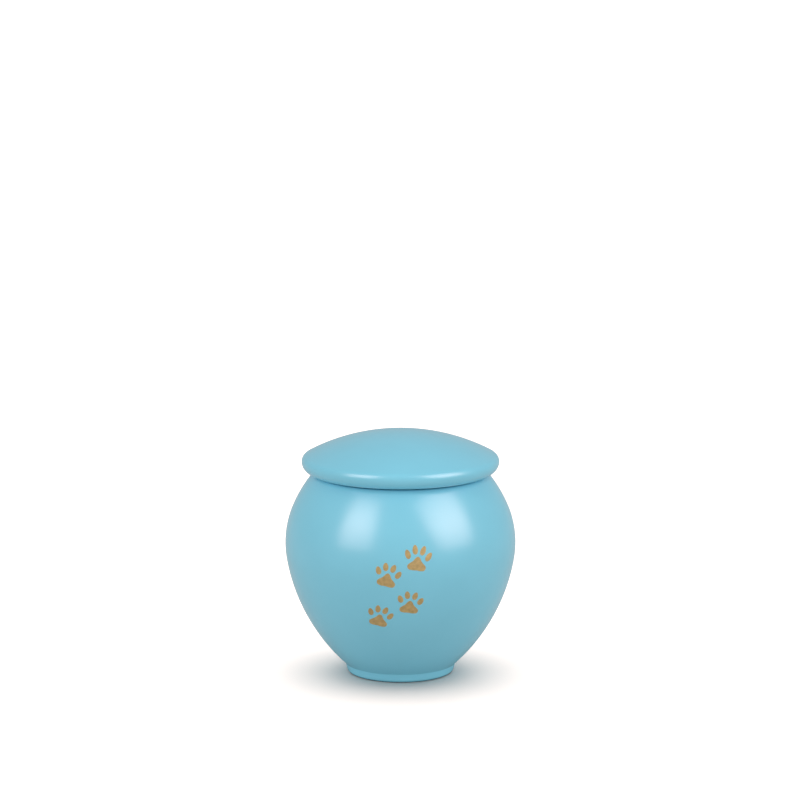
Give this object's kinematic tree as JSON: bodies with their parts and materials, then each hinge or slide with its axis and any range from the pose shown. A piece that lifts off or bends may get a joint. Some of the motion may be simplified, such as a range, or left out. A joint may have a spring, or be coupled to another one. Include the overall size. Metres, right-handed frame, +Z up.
{
  "type": "funeral urn",
  "caption": "Small round-bellied urn, hollow, on a low turned foot, with a domed lift-off lid, lacquered, with flat gold paw prints on its front.",
  "frame": {"origin": "centre of the foot's underside, on the axis of turning", "axes": "+Z up along the axis of turning, towards the lid's crown; the paw prints face -Y"},
  "size_m": [0.1, 0.1, 0.1062],
  "materials": {
    "lacquer": "smooth turquoise lacquer, satin gloss",
    "gold_print": "flat gold print under the lacquer's clear coat, faintly mottled"
  },
  "bodies": {
    "root": {"urn_body": "lacquer", "lid": "lacquer"}
  },
  "joints": []
}
